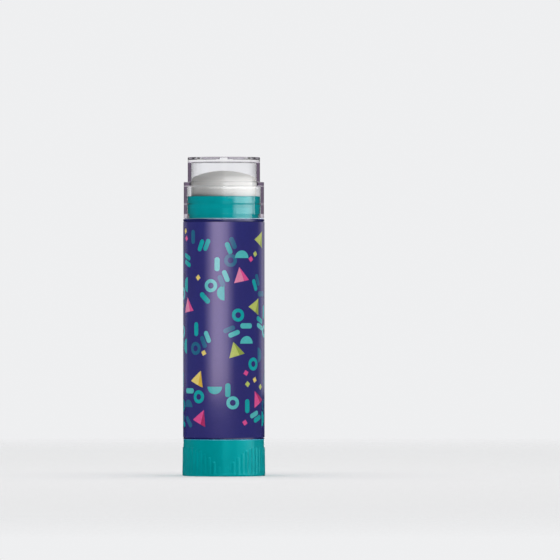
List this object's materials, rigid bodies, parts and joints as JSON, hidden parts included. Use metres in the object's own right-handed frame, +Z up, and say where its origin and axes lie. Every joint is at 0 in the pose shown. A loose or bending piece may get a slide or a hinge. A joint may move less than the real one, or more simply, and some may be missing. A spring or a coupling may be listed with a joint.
{
  "type": "twist-up stick eraser",
  "caption": "Round pocket holder with a ribbed twist knob that drives a keyed carrier up a lead screw to push a white eraser stick out of a collar, under a clear stepped cap.",
  "frame": {"origin": "centre of the twist knob's foot, on the plane that the holder stands on", "axes": "+Z up along the barrel to the cap; the front of the holder, with a smooth thumb mark on the knob, faces -Y; +X to the right of the front"},
  "size_m": [0.0166, 0.0166, 0.0637],
  "materials": {
    "clear_plastic": "clear, polished",
    "teal_gloss": "moulded, glossy",
    "teal_satin": "moulded, satin",
    "navy_plastic": "moulded, semi-gloss",
    "printed_film": "printed film with scattered small motifs, semi-gloss",
    "eraser_rubber": "matte, fine powdery grain",
    "natural_plastic": "moulded, satin"
  },
  "bodies": {
    "barrel": {"barrel": "navy_plastic", "printed_wrap": "printed_film", "collar": "teal_gloss"},
    "knob": {"twist_knob": "teal_satin", "lead_screw": "natural_plastic"},
    "carrier": {"carrier": "natural_plastic"},
    "eraser": {"eraser_stick": "eraser_rubber"},
    "cap": {"cap": "clear_plastic"}
  },
  "joints": [
    {"name": "knob_twist", "type": "hinge", "parent": "barrel", "child": "knob", "pos_m": [0, 0, 0], "axis": [0, 0, 1], "range_deg": [0, 3240]},
    {"name": "carrier_rise", "type": "slide", "parent": "barrel", "child": "carrier", "axis": [0, 0, 1], "range_m": [0, 0.036]},
    {"name": "eraser_refill", "type": "slide", "parent": "carrier", "child": "eraser", "axis": [0, 0, 1], "range_m": [0, 0.05]},
    {"name": "cap_pull", "type": "slide", "parent": "eraser", "child": "cap", "axis": [0, 0, 1], "range_m": [0, 0.03]}
  ],
  "couplings": [
    {"joint": "knob_twist", "follows": "carrier_rise", "rad_per_m": 1570.8}
  ]
}
